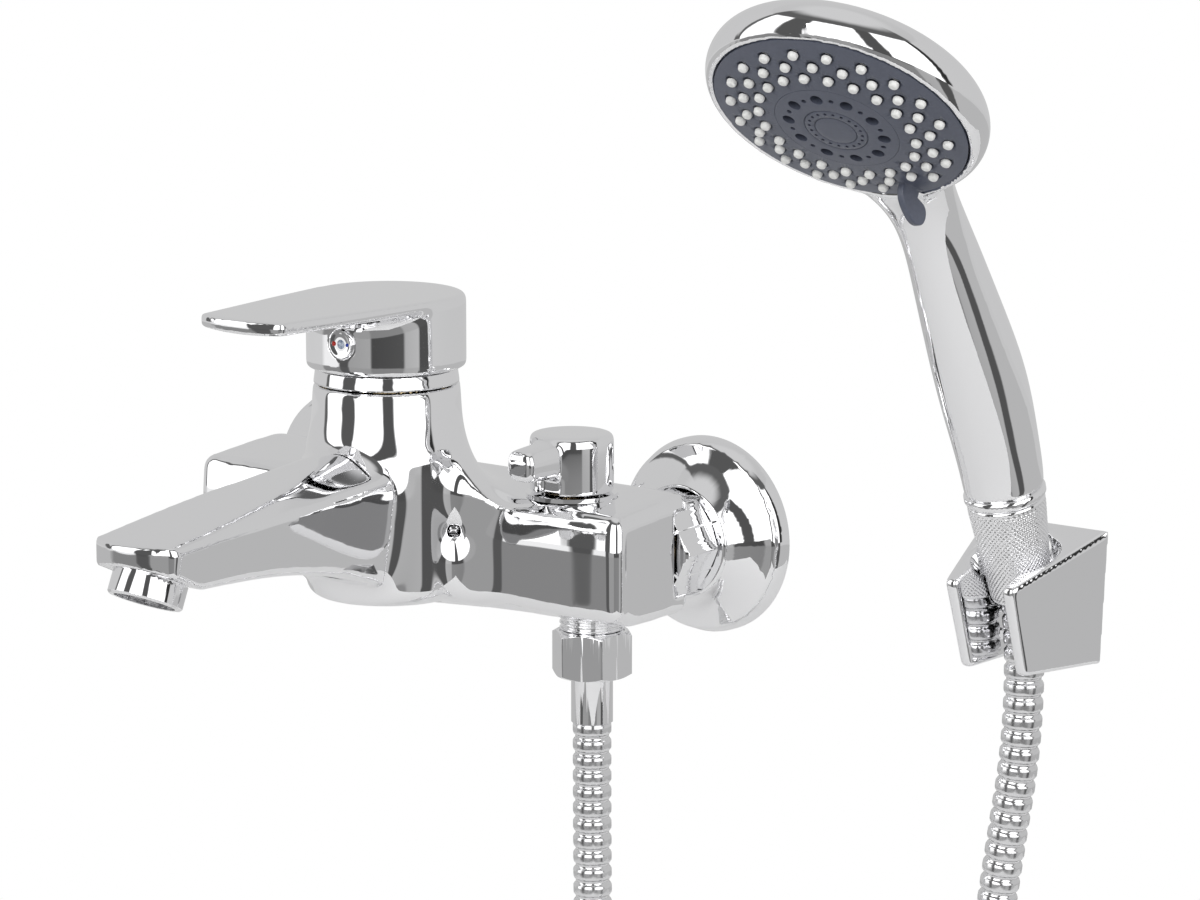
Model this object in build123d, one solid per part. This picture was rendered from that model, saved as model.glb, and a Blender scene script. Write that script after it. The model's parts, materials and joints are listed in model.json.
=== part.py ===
from build123d import *
import math
import os

# Wall-mounted single-lever bath mixer with hand shower, hose and wall bracket.
# Frame in millimetres: X along the wall, Y into the wall, Z up, wall face at Y = 0,
# origin midway between the two wall ports. Most sizes are written about the nut axis
# of the inlets, which the eccentric unions carry above the wall ports.

# Driving dimensions of the wall connection
INLET_SPACING = 150.0
NUT_AXIS_Z = 10.0
STUD_R = 10.48
STUD_LENGTH = 18.0
UNION_THREAD_R = 13.2
UNION_FRONT = 26.0
NUT_FLATS = 30.0
FLANGE_R = 32.0
FLANGE_DEPTH = 16.7

# Driving dimensions of the mixer body, about the nut axis
BODY_BACK = 26.0
BODY_END_X = 88.0
ARM_FRONT = 65.0
TOWER_Y = -72.5
TOWER_R = 24.0
TOWER_TOP = 52.0
BARREL_R = 26.5
BARREL_LOW = -17.6
SPOUT_TIP = 193.0
SPOUT_HALF = 17.0
AERATOR_Y = -183.0
AERATOR_Z = 5.9
AERATOR_TILT = 24.0
AERATOR_SEAT_R = 11.0
PORT_X = 8.0
PORT_Y = -62.0
MIXED_Y = -84.0
MIXED_Z = 6.0
SUPPLY_Y = -59.5
SUPPLY_Z = -8.0

# Driving dimensions of the cartridge and handle
CARTRIDGE_R = 20.0
CARTRIDGE_FLOOR = 12.0
CAVITY_R = 17.5
CAVITY_FLOOR = 15.0
CAVITY_TOP = 41.5
GUIDE_R = 11.3
PIVOT_Z = 50.0
LEVER_ARM = 18.0
LEVER_REST = 12.5
CAP_R = 25.6
CAP_BOTTOM = 57.0
HANDLE_TOP = 80.6
HANDLE_REACH = 70.8
LEVER_TIP_HALF = 16.4
CAP_CEILING = 75.5
HUB_R = 7.5
HUB_LOW = 61.5
INDEX_X = 3.0
INDEX_Z = 67.2
INDEX_R = 4.5
SCREW_R = 2.4
SCREW_Z = 65.2

# Driving dimensions of the diverter and shower outlet
DIVERTER_X = 57.0
DIVERTER_Y = -49.0
DIVERTER_SEAT = 17.8
KNOB_R = 13.4
KNOB_LOW = 19.7
KNOB_TOP = 38.2
KNOB_GRIP = 27.0
OUTLET_X = 62.0
OUTLET_Y = -45.0
OUTLET_R = 10.4
HOSE_NUT_TOP = -26.0
HOSE_NUT_LENGTH = 14.5
HOSE_NUT_FLATS = 23.0
THREAD_PITCH = 1.814
THREAD_DEPTH = 0.9

# Driving dimensions of the bracket and the hand shower
BRACKET_X = 205.2
BRACKET_DEPTH = 38.5
BRACKET_TOP = 20.1
BRACKET_BOTTOM = -22.0
BRACKET_SLOT = 16.0
SLOT_BACK = -12.3
SCREW_HOLE_R = 2.25
SCREW_HEAD_R = 4.6
SCREW_SPACING = 26.0
SOCKET_LEAN = 17.0
SOCKET_TOP = (-24.0, 31.5)
CONE_TOP_R = 12.0
CONE_END_R = 9.5
CONE_LENGTH = 33.0
HANDSET_TURN = 7.0
HEAD_CENTRE = (-122.0, 156.3)
HEAD_TILT = 49.2
FACE_R = 37.6
DOME_HEIGHT = 4.4
RIM_R = 42.0
RIM_BACK = 14.8
HEAD_BACK = 21.0
WALL = 2.4
CENTRE_R = 18.4
NOZZLE_R = 1.6
NOZZLE_RISE = 1.4
NOZZLE_ROWS = (32.3, 28.0, 23.4)
NOZZLE_ANGLE = 161.0
FIN_ANGLE = 165.6
FIN_HALF = 1.1

# Driving dimensions of the hose
HOSE_R = 6.2
HOSE_BORE_R = 3.6
RIB_PITCH = 5.3
FERRULE_R = 6.7
FERRULE_END = -55.8
HOSE_START = 16.0
COIL_R = 65.0
COIL_Z = -245.0
COIL_TURNS = 2.5

os.makedirs("parts", exist_ok=True)
UP = (Align.CENTER, Align.CENTER, Align.MIN)
INLET_X = INLET_SPACING / 2


def rod(radius, low, high):
    return Pos(0, 0, low) * Cylinder(radius, high - low, align=UP)


def ring(outer, inner, low, high):
    return rod(outer, low, high) - rod(inner, low, high)


def turned(*points):
    # A closed outline of (radius, height) points, turned about Z.
    return revolve(Plane.XZ * make_face(Polyline(*points, close=True)), Axis.Z)


def hexagon(flats, low, high):
    return Pos(0, 0, low) * extrude(RegularPolygon(flats / math.sqrt(3), 6), amount=high - low)


def chamfered_hexagon(flats, low, high):
    # The corners of a turned nut are cut back by a cone at both ends.
    corner = flats / math.sqrt(3)
    cut = corner - flats / 2
    blank = turned((0, low), (corner - cut, low), (corner, low + cut * 0.6),
                   (corner, high - cut * 0.6), (corner - cut, high), (0, high))
    return hexagon(flats, low, high) & blank


def from_wall(x, z, shape):
    # A shape built along +Z is stood on the wall, its height becoming the distance out.
    return Pos(x, 0, z) * Rot(90, 0, 0) * shape


def at_tower(shape):
    return Pos(0, TOWER_Y, 0) * shape


PARTS = {}


def keep(name, *shapes):
    # Sizes are written about the nut axis, and the finished piece is lifted to the frame.
    placed = [Pos(0, 0, NUT_AXIS_Z) * shape for shape in shapes]
    PARTS[name] = placed[0] if len(placed) == 1 else Compound(children=placed)


# Wall unions, flanges, nuts, tails and washers
def wall_union():
    stud = rod(STUD_R, -STUD_LENGTH, 0.0)
    stud = chamfer(stud.edges().sort_by(Axis.Z)[0], 1.0)
    stud = Pos(0, -NUT_AXIS_Z, 0) * stud
    swept = loft([Pos(0, -NUT_AXIS_Z, 0) * Circle(12.5), Pos(0, 0, 11.0) * Circle(UNION_THREAD_R)])
    front = rod(UNION_THREAD_R, 11.0, UNION_FRONT)
    bore = Pos(0, -NUT_AXIS_Z, 0) * rod(6.5, -STUD_LENGTH, 0.0)
    bore += loft([Pos(0, -NUT_AXIS_Z, 0) * Circle(6.5), Pos(0, 0, 11.0) * Circle(8.0)])
    bore += rod(8.0, 11.0, UNION_FRONT)
    return stud + swept + front - bore


def wall_flange():
    outside = [(FLANGE_R, 0), (FLANGE_R, 2.2), (FLANGE_R - 1.4, 6.2)]
    slope = ThreePointArc((FLANGE_R - 1.4, 6.2), (23.6, 10.2), (18.8, 15.6))
    lip = ThreePointArc((18.8, 15.6), (18.3, 16.4), (17.4, FLANGE_DEPTH))
    front = Polyline((17.4, FLANGE_DEPTH), (UNION_THREAD_R + 0.1, FLANGE_DEPTH),
                     (UNION_THREAD_R + 0.1, 14.6), (17.0, 14.6))
    inside = ThreePointArc((17.0, 14.6), (22.6, 8.9), (29.2, 5.2))
    rim = Polyline((29.2, 5.2), (30.4, 2.0), (30.4, 0), (FLANGE_R, 0))
    outline = Wire([*Polyline(*outside).edges(), slope, lip, *front.edges(), inside, *rim.edges()])
    return revolve(Plane.XZ * make_face(outline), Axis.Z)


def inlet_nut():
    nut = chamfered_hexagon(NUT_FLATS, FLANGE_DEPTH + 0.5, 34.0)
    return nut - rod(UNION_THREAD_R + 0.05, 0, 31.0) - rod(10.1, 31.0, 34.0)


def inlet_tail():
    return ring(12.0, 7.0, 28.0, 31.0) + ring(10.0, 7.0, 31.0, 44.0)


def inlet_washer():
    return ring(12.0, 8.0, UNION_FRONT, 28.0)


for side, x in (("left", -INLET_X), ("right", INLET_X)):
    keep(side + "_wall_union", from_wall(x, 0, wall_union()))
    keep(side + "_wall_flange", from_wall(x, 0, wall_flange()))
    keep(side + "_inlet_nut", from_wall(x, 0, inlet_nut()))
    keep(side + "_inlet_tail", from_wall(x, 0, inlet_tail()))
    keep(side + "_inlet_washer", from_wall(x, 0, inlet_washer()))


# Mixer body: bar, barrel, tower and spout in one casting, with its bores
def bar_section(x, front, corner=5.0):
    top_front = 16.4 + (front - ARM_FRONT) * 0.09
    outline = Polyline((-BODY_BACK, 20.0), (-front, top_front), (-front, -16.2),
                       (-front + 9.0, -20.2), (-BODY_BACK, -20.2), close=True)
    face = make_face(outline)
    return Pos(x, 0, 0) * (Plane.YZ * fillet(face.vertices(), corner))


def bar():
    fronts = [(BODY_END_X, 64.8), (70.0, 65.9), (50.0, 67.6), (34.0, 70.0), (20.0, 73.6)]
    stations = [(-x, front) for x, front in fronts] + [(0.0, 76.5)]
    stations += [(x, front) for x, front in reversed(fronts)]
    solid = loft([bar_section(x, front) for x, front in stations])
    ends = [face for face in solid.faces() if abs(abs(face.center().X) - BODY_END_X) < 0.5]
    return fillet([edge for face in ends for edge in face.edges()], 4.0)


def tower():
    # The flare runs out over the bar, and is held inside the bar and the barrel in plan.
    sections = [(15.0, 47.0, 27.5), (18.0, 42.0, 27.0), (22.0, 35.0, 26.4), (28.0, 29.0, 25.6),
                (36.0, 25.2, 24.6), (44.0, TOWER_R, TOWER_R), (TOWER_TOP, 23.4, 23.4)]
    flare = loft([Pos(0, TOWER_Y, z) * Ellipse(across, deep) for z, across, deep in sections])
    front = ThreePointArc((-60, -64.5), (0, -74.0), (60, -64.5))
    sides = Polyline((60, -64.5), (60, -30), (-60, -30), (-60, -64.5))
    room = extrude(make_face(Wire([front, *sides.edges()])), amount=TOWER_TOP)
    room += at_tower(rod(BARREL_R, 0, TOWER_TOP))
    return flare & room


def barrel():
    solid = at_tower(rod(BARREL_R, BARREL_LOW, 17.0))
    return fillet(solid.edges().sort_by(Axis.Z)[0], 5.5)


def spout_section(y, crown, top, half, brow, half_bottom, bottom):
    # A flat top, a shoulder sloping down to each side, and sides that draw in a little.
    outline = Polyline((-crown, top), (crown, top), (half, brow), (half_bottom, bottom),
                       (-half_bottom, bottom), (-half, brow), close=True)
    face = fillet(make_face(outline).vertices(), 2.0)
    return Plane(origin=(0, -y, 0), x_dir=(1, 0, 0), z_dir=(0, -1, 0)) * face


def spout():
    solid = loft([
        spout_section(60.0, 3.0, 38.6, 21.0, 29.0, 18.5, -16.0),
        spout_section(95.0, 4.0, 33.0, 19.6, 25.4, 17.4, -10.0),
        spout_section(118.0, 8.5, 29.2, 18.7, 22.5, 16.8, -2.8),
        spout_section(141.0, 12.6, 25.5, 18.0, 20.2, 16.4, 1.2),
        spout_section(165.0, 15.0, 21.8, 17.4, 18.4, 16.2, 2.6),
        spout_section(SPOUT_TIP + 6, 15.2, 17.0, SPOUT_HALF, 15.6, 16.0, 2.8)])
    # The tip is bowed in plan, with rounded corners.
    bow = ThreePointArc((-SPOUT_HALF, 3.0 - SPOUT_TIP), (0, -SPOUT_TIP - 1.2), (SPOUT_HALF, 3.0 - SPOUT_TIP))
    sides = Polyline((SPOUT_HALF, 3.0 - SPOUT_TIP), (24, -50), (-24, -50), (-SPOUT_HALF, 3.0 - SPOUT_TIP))
    plan = make_face(Wire([bow, *sides.edges()]))
    plan = fillet(plan.vertices().sort_by(Axis.Y)[:2], 4.5)
    return solid & (Pos(0, 0, -25) * extrude(plan, amount=80))


def at_outlet(shape):
    # The outlet parts are built along +Z, with Z = 0 on the slanted face under the tip.
    return Pos(0, AERATOR_Y, AERATOR_Z) * Rot(-AERATOR_TILT, 0, 0) * shape


def way(start, end, radius):
    # A drilled water way between two points.
    start, end = Vector(*start), Vector(*end)
    return Solid.make_cylinder(radius, (end - start).length, Plane(origin=start, z_dir=end - start))


def water_ways():
    cuts = [at_tower(rod(CARTRIDGE_R + 0.05, CARTRIDGE_FLOOR, 44.0)), at_tower(rod(21.6, 44.0, TOWER_TOP))]
    for side in (-1, 1):
        x = side * INLET_X
        cuts += [from_wall(x, 0, rod(18.0, BODY_BACK - 1, 35.0)), from_wall(x, 0, rod(10.0, 35.0, 44.0))]
        cuts.append(way((x, -44, 0), (x, SUPPLY_Y, SUPPLY_Z), 5.0))
        cuts.append(way((x, SUPPLY_Y, SUPPLY_Z), (side * PORT_X, SUPPLY_Y, SUPPLY_Z), 4.5))
        cuts.append(way((side * PORT_X, PORT_Y, SUPPLY_Z), (side * PORT_X, PORT_Y, CARTRIDGE_FLOOR), 4.0))
    cuts.append(way((0, MIXED_Y, MIXED_Z - 3), (0, MIXED_Y, CARTRIDGE_FLOOR), 4.5))
    cuts.append(way((0, MIXED_Y, MIXED_Z), (0, AERATOR_Y + 2, AERATOR_Z + 6.0), 5.0))
    cuts.append(way((0, MIXED_Y, MIXED_Z), (DIVERTER_X, DIVERTER_Y, MIXED_Z), 3.6))
    cuts.append(at_outlet(rod(AERATOR_SEAT_R, 0, 7.5)))
    cuts.append(Pos(DIVERTER_X, DIVERTER_Y, 0) * rod(9.0, -1.0, DIVERTER_SEAT + 1))
    cuts.append(Pos(DIVERTER_X, DIVERTER_Y, 0) * rod(15.0, DIVERTER_SEAT, DIVERTER_SEAT + 5))
    cuts.append(way((OUTLET_X, OUTLET_Y, -1.5), (OUTLET_X, OUTLET_Y, -12.0), 6.0))
    cuts.append(Pos(OUTLET_X, OUTLET_Y, 0) * rod(9.0, -22.0, -10.0))
    return cuts


def mixer_body():
    boss = Pos(DIVERTER_X, DIVERTER_Y, 0) * rod(15.0, 8.0, DIVERTER_SEAT)
    solid = bar() + barrel() + tower() + spout() + boss
    solid -= at_outlet(Pos(0, 0, -20) * Box(60, 60, 20, align=UP))
    for cut in water_ways():
        solid -= cut
    return solid


keep("mixer_body", mixer_body())


# Cartridge under the handle: housing, seals, discs, turning guide, lever and its pin
BALL_BACK = LEVER_ARM * math.sin(math.radians(LEVER_REST))
BALL_DROP = LEVER_ARM * math.cos(math.radians(LEVER_REST))
BALL_Z = PIVOT_Z - BALL_DROP


def port_holes(low, high):
    holes = [Pos(side * PORT_X, PORT_Y - TOWER_Y, 0) * rod(3.5, low, high) for side in (-1, 1)]
    return holes + [Pos(0, MIXED_Y - TOWER_Y, 0) * rod(3.8, low, high)]


def cartridge_housing():
    solid = ring(CARTRIDGE_R, CAVITY_R, CAVITY_FLOOR, CAVITY_TOP) + rod(CARTRIDGE_R, 13.0, CAVITY_FLOOR)
    solid += ring(CARTRIDGE_R, GUIDE_R + 0.1, CAVITY_TOP, 44.0) + ring(13.4, GUIDE_R + 0.1, 44.0, 54.0)
    for hole in port_holes(13.0, CAVITY_FLOOR):
        solid -= hole
    return solid


def cartridge_seals():
    seals = []
    for side in (-1, 1):
        seals.append(Pos(side * PORT_X, PORT_Y - TOWER_Y, 0) * ring(5.0, 3.5, 12.0, 13.0))
    seals.append(Pos(0, MIXED_Y - TOWER_Y, 0) * ring(5.3, 3.8, 12.0, 13.0))
    return [at_tower(seal) for seal in seals]


def fixed_disc():
    solid = rod(CAVITY_R - 0.1, CAVITY_FLOOR, 19.0)
    for hole in port_holes(CAVITY_FLOOR, 19.0):
        solid -= hole
    return solid


def moving_disc():
    # The disc has one mixing hollow in its underside, and slides under the carrier.
    solid = rod(13.2, 19.05, 23.5) - (Pos(0, -2.0, 0) * rod(8.5, 19.0, 21.5))
    return Pos(0, BALL_BACK, 0) * solid


def disc_carrier():
    pocket = Pos(0, 0, 27.0) * Box(6.6, 6.5, 12.0, align=UP)
    mouth = Pos(0, 0, 34.0) * Box(6.6, 8.0, 4.0, align=UP)
    solid = rod(13.0, 23.5, 36.0) - pocket - mouth
    return Pos(0, BALL_BACK, 0) * solid


def lever_guide():
    # The guide turns in the neck of the housing, held down by its flange.
    solid = rod(GUIDE_R, 41.45, 56.0) + ring(16.6, 8.0, 38.6, 41.4) + rod(GUIDE_R, 38.6, 41.45)
    solid -= Pos(0, 0, 38) * Box(7.4, 17.0, 7.0, align=UP)
    solid -= Pos(0, 0, 44.4) * Box(11.6, 17.0, 12.0, align=UP)
    return solid - (Pos(0, 0, PIVOT_Z) * Rot(0, 90, 0) * Cylinder(1.5, 2 * GUIDE_R + 1))


def lever_pin():
    return Pos(0, 0, PIVOT_Z) * Rot(0, 90, 0) * Cylinder(1.5, 2 * GUIDE_R - 0.6)


def cartridge_lever():
    hub = Pos(0, 0, PIVOT_Z) * Rot(0, 90, 0) * Cylinder(4.8, 11.0)
    stem = Pos(0, 0, PIVOT_Z) * Box(7.0, 7.0, 19.0, align=UP)
    arm = way((0, 0, PIVOT_Z), (0, BALL_BACK, BALL_Z), 2.6)
    ball = Pos(0, BALL_BACK, BALL_Z) * Sphere(3.0)
    return hub + stem + arm + ball - (Pos(0, 0, PIVOT_Z) * Rot(0, 90, 0) * Cylinder(1.56, 12.0))


def cartridge_nut():
    solid = ring(21.5, 13.8, 44.0, 50.0)
    for turn in range(6):
        solid -= Rot(0, 0, turn * 60) * Pos(16.4, 0, 0) * rod(1.6, 47.0, 50.0)
    return solid


def dome_ring():
    outline = Polyline((23.3, 52.0), (23.3, 52.5), (22.8, 56.2))
    dome = ThreePointArc((22.8, 56.2), (20.6, 58.4), (15.2, 59.8))
    inner = Polyline((15.2, 59.8), (15.2, 58.6), (19.6, 57.0), (20.2, 55.0), (20.2, 50.0), (21.4, 50.0),
                     (21.4, 52.0), (23.3, 52.0))
    return revolve(Plane.XZ * make_face(Wire([*outline.edges(), dome, *inner.edges()])), Axis.Z)


keep("cartridge_housing", at_tower(cartridge_housing()))
keep("cartridge_seals", *cartridge_seals())
keep("cartridge_fixed_disc", at_tower(fixed_disc()))
keep("cartridge_moving_disc", at_tower(moving_disc()))
keep("cartridge_disc_carrier", at_tower(disc_carrier()))
keep("cartridge_lever_guide", at_tower(lever_guide()))
keep("cartridge_lever_pin", at_tower(lever_pin()))
keep("cartridge_lever", at_tower(cartridge_lever()))
keep("cartridge_nut", at_tower(cartridge_nut()))
keep("tower_dome_ring", at_tower(dome_ring()))


# Handle: a cap over the tower, with a flat lever reaching over the spout
def lever_section(reach, half, edge, depth):
    # Flat on top, with short upright edges and a bowed underside.
    top = HANDLE_TOP
    sides = Polyline((-half, top - edge), (-half, top), (half, top), (half, top - edge))
    under = ThreePointArc((half, top - edge), (0, top - depth), (-half, top - edge))
    face = make_face(Wire([*sides.edges(), under]))
    return Plane(origin=(0, -reach, 0), x_dir=(1, 0, 0), z_dir=(0, -1, 0)) * face


def handle_lever():
    solid = loft([
        lever_section(4.0, 25.0, 3.0, 14.0),
        lever_section(22.0, 23.2, 3.2, 8.0),
        lever_section(36.0, 21.4, 3.7, 5.4),
        lever_section(52.0, 19.2, 4.0, 4.6),
        lever_section(HANDLE_REACH + 3.0, LEVER_TIP_HALF, 4.2, 4.5)])
    bow = ThreePointArc((-18, 2.2 - HANDLE_REACH), (0, -HANDLE_REACH - 0.6), (18, 2.2 - HANDLE_REACH))
    sides = Polyline((18, 2.2 - HANDLE_REACH), (26, 0), (-26, 0), (-18, 2.2 - HANDLE_REACH))
    plan = make_face(Wire([bow, *sides.edges()]))
    plan = fillet(plan.vertices().sort_by(Axis.Y)[:2], 5.0)
    return solid & (Pos(0, 0, CAP_BOTTOM) * extrude(plan, amount=30))


def handle():
    cap = rod(CAP_R, CAP_BOTTOM, HANDLE_TOP)
    cap = fillet(cap.edges().sort_by(Axis.Z)[-1], 2.0)
    cap = fillet(cap.edges().sort_by(Axis.Z)[0], 1.6)
    solid = cap + handle_lever()
    solid -= rod(23.9, CAP_BOTTOM, 62.0)
    solid -= Pos(0, 0, 62.0) * Cone(23.9, 19.5, CAP_CEILING - 62.0, align=UP)
    hub = rod(HUB_R, HUB_LOW, CAP_CEILING)
    hub -= Pos(0, 0, HUB_LOW) * Box(7.0, 7.0, 8.2, align=UP)
    solid += hub
    solid -= way((INDEX_X, -30, INDEX_Z), (INDEX_X, -CAP_R + 1.6, INDEX_Z), INDEX_R + 0.1)
    return solid - way((0, -24.0, SCREW_Z), (0, -3.5, SCREW_Z), SCREW_R + 0.05)


def index_button():
    return way((INDEX_X, -CAP_R + 1.6, INDEX_Z), (INDEX_X, -CAP_R - 0.2, INDEX_Z), INDEX_R)


def handle_screw():
    return way((0, -13.0, SCREW_Z), (0, -3.5, SCREW_Z), SCREW_R)


keep("handle", at_tower(handle()))
keep("handle_index_button", at_tower(index_button()))
keep("handle_grub_screw", at_tower(handle_screw()))


# Diverter: headwork in the right arm, base ring, spindle with its disc, and the knob
def at_diverter(shape):
    return Pos(DIVERTER_X, DIVERTER_Y, 0) * shape


def diverter_headwork():
    solid = ring(8.95, 7.0, -0.9, DIVERTER_SEAT) - (Pos(0, 0, MIXED_Z) * Rot(0, 90, 0) * Cylinder(3.4, 30))
    return solid + ring(8.95, 4.1, DIVERTER_SEAT - 4.0, DIVERTER_SEAT)


def diverter_spindle():
    # The stem turns in the headwork, and its foot is a half disc that opens one way or the other.
    solid = rod(4.0, 2.0, 33.0) + rod(6.9, -0.8, 2.0)
    return solid - (Pos(3.4, 0, 0) * rod(2.4, -0.8, 2.0))


def diverter_seal():
    return ring(6.9, 4.1, 11.6, 13.6)


def diverter_base_ring():
    return ring(14.7, 9.2, DIVERTER_SEAT, DIVERTER_SEAT + 1.4)


def diverter_knob():
    solid = rod(KNOB_R, KNOB_LOW, KNOB_TOP)
    root = Plane(origin=(0, 0, 31.0), z_dir=(0, -1, 0), x_dir=(1, 0, 0))
    tip = Plane(origin=(0, -KNOB_GRIP, 30.8), z_dir=(0, -1, 0), x_dir=(1, 0, 0))
    grip = loft([root * RectangleRounded(11.0, 13.4, 3.0), tip * RectangleRounded(10.4, 9.8, 3.0)])
    grip = fillet(grip.faces().sort_by(Axis.Y)[0].edges(), 2.0)
    hollow = Pos(0, -19.0, KNOB_LOW) * Box(9.0, 18.0, 5.4, align=UP)
    solid = fillet(solid.edges().sort_by(Axis.Z)[-1], 1.6) + grip - hollow
    solid -= rod(9.6, KNOB_LOW, 22.0)
    return solid - rod(4.02, 22.0, 33.0)


keep("diverter_headwork", at_diverter(diverter_headwork()))
keep("diverter_spindle", at_diverter(diverter_spindle()))
keep("diverter_seal", at_diverter(diverter_seal()))
keep("diverter_base_ring", at_diverter(diverter_base_ring()))
keep("diverter_knob", at_diverter(diverter_knob()))


# Spout outlet: threaded housing, straightener insert and washer
def aerator_housing():
    solid = ring(11.8, 9.6, -7.6, 0) + ring(AERATOR_SEAT_R - 0.05, 9.6, 0, 6.0)
    return chamfer(solid.edges().filter_by(GeomType.CIRCLE).sort_by(Axis.Z)[:1], 0.6)


def aerator_insert():
    solid = rod(9.55, -5.8, 5.0)
    for count, radius in ((6, 3.0), (12, 6.0)):
        for step in range(count):
            angle = 2 * math.pi * step / count
            solid -= Pos(radius * math.cos(angle), radius * math.sin(angle), 0) * rod(0.9, -5.8, 5.0)
    return solid


keep("aerator_housing", at_outlet(aerator_housing()))
keep("aerator_insert", at_outlet(aerator_insert()))
keep("aerator_washer", at_outlet(ring(AERATOR_SEAT_R - 0.1, 8.0, 6.0, 7.5)))


# Shower outlet under the right arm, with the lower end of the hose
def at_shower_outlet(shape):
    return Pos(OUTLET_X, OUTLET_Y, 0) * shape


def thread_outline(radius, low, high):
    # The flanks of a pipe thread, from the top down.
    points, z = [(radius - THREAD_DEPTH, high)], high
    while z - THREAD_PITCH > low:
        points += [(radius, z - THREAD_PITCH * 0.4), (radius, z - THREAD_PITCH * 0.6),
                   (radius - THREAD_DEPTH, z - THREAD_PITCH)]
        z -= THREAD_PITCH
    return points + [(radius - THREAD_DEPTH, low)]


def shower_outlet():
    outline = [(6.0, -10.0), (9.0, -10.0), (9.0, -20.4)] + thread_outline(OUTLET_R, -34.0, -20.4)
    return turned(*outline, (6.0, -34.0))


def hose_nut():
    low, high = HOSE_NUT_TOP - HOSE_NUT_LENGTH, HOSE_NUT_TOP
    solid = chamfered_hexagon(HOSE_NUT_FLATS, low, high)
    return solid - rod(OUTLET_R + 0.05, -38.0, high) - rod(FERRULE_R + 0.15, low, -38.0)


def lower_ferrule():
    return ring(9.6, 5.0, -38.0, -36.2) + ring(FERRULE_R, 5.0, FERRULE_END, -38.0)


keep("shower_outlet", at_shower_outlet(shower_outlet()))
keep("hose_nut", at_shower_outlet(Rot(0, 0, 22) * hose_nut()))
keep("lower_hose_washer", at_shower_outlet(ring(9.6, 5.6, -36.2, -34.0)))
keep("lower_hose_ferrule", at_shower_outlet(lower_ferrule()))


# Wall bracket of the hand shower, with its leaning cone socket and the slot for the hose
LEAN = math.radians(SOCKET_LEAN)


def on_cone(distance):
    # A point on the leaning axis, measured up from the lower end of the cone nut.
    along = distance - CONE_LENGTH
    return (BRACKET_X, SOCKET_TOP[0] - along * math.sin(LEAN), SOCKET_TOP[1] + along * math.cos(LEAN))


def at_cone(shape):
    # A shape built along +Z stands on the lower end of the cone nut and leans with it.
    return Pos(*on_cone(0)) * Rot(SOCKET_LEAN, 0, 0) * shape


def cone_r(distance):
    # The taper ends a little below the collar, and the top is straight.
    return CONE_END_R + (CONE_TOP_R - CONE_END_R) * min(distance / 30.0, 1.0)


def bracket_plan(z, half_back, half_front):
    plan = make_face(Polyline((-half_back, 0), (-half_front, -BRACKET_DEPTH), (half_front, -BRACKET_DEPTH),
                              (half_back, 0), close=True))
    return Pos(BRACKET_X, 0, z) * fillet(plan.vertices().sort_by(Axis.Y)[:2], 1.6)


def shower_bracket():
    # Seen from above it narrows outwards, and from the front it narrows downwards.
    side = make_face(Polyline((0, BRACKET_TOP), (-BRACKET_DEPTH, 6.6), (-29.7, BRACKET_BOTTOM),
                              (0, BRACKET_BOTTOM), close=True))
    side = fillet([corner for corner in side.vertices() if corner.X < -BRACKET_DEPTH / 2], 1.6)
    block = Pos(BRACKET_X - 30, 0, 0) * extrude(Plane.YZ * side, amount=60)
    block &= loft([bracket_plan(BRACKET_BOTTOM - 1, 19.9, 9.2), bracket_plan(BRACKET_TOP + 1, 22.2, 13.9)])
    gap = 0.15
    socket = turned((0, -40), (8.0, -40), (8.0, -3.0), (cone_r(-3.0) + gap, -3.0), (cone_r(6.0) + gap, 6.0),
                    (13.9, 13.0), (13.9, 40), (0, 40))
    block -= at_cone(socket)
    slot = Box(BRACKET_SLOT, 40, 80, align=(Align.CENTER, Align.MAX, Align.MIN))
    slot += Cylinder(BRACKET_SLOT / 2, 80, align=UP)
    block -= Pos(BRACKET_X, SLOT_BACK, -40) * slot
    for z in (-SCREW_SPACING / 2, SCREW_SPACING / 2):
        hole = rod(SCREW_HOLE_R, 0, 12) + (Pos(0, 0, 2.0) * Cone(SCREW_HOLE_R, SCREW_HEAD_R, 2.4, align=UP))
        block -= from_wall(BRACKET_X, z, hole + rod(SCREW_HEAD_R, 4.4, 12))
    return block


keep("shower_bracket", shower_bracket())


# Handset end of the hose: ferrule, washer and knurled cone nut
def cone_nut():
    outline = [(CONE_END_R - 0.6, 0), (CONE_END_R, 0.6), (CONE_TOP_R, 30.0), (CONE_TOP_R, CONE_LENGTH - 0.6),
               (CONE_TOP_R - 0.6, CONE_LENGTH)]
    inside = [(OUTLET_R + 0.05, CONE_LENGTH), (OUTLET_R + 0.05, 21.0), (FERRULE_R + 0.05, 21.0),
              (FERRULE_R + 0.05, 0)]
    return turned(*outline, *inside)


keep("hose_cone_nut", at_cone(cone_nut()))
keep("upper_hose_ferrule", at_cone(ring(FERRULE_R, 5.0, HOSE_START, 21.0) + ring(10.2, 5.0, 21.0, 22.8)))
keep("upper_hose_washer", at_cone(ring(10.2, 5.6, 22.8, 24.8)))


# Hose: two ribbed free runs, and the put-away turns between them held by a tie
COIL_LEFT = OUTLET_X
COIL_RIGHT = OUTLET_X + 2 * COIL_R
COIL_PITCH = 2 * HOSE_R + 0.55
COIL_END_Y = OUTLET_Y + COIL_TURNS * COIL_PITCH

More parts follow.
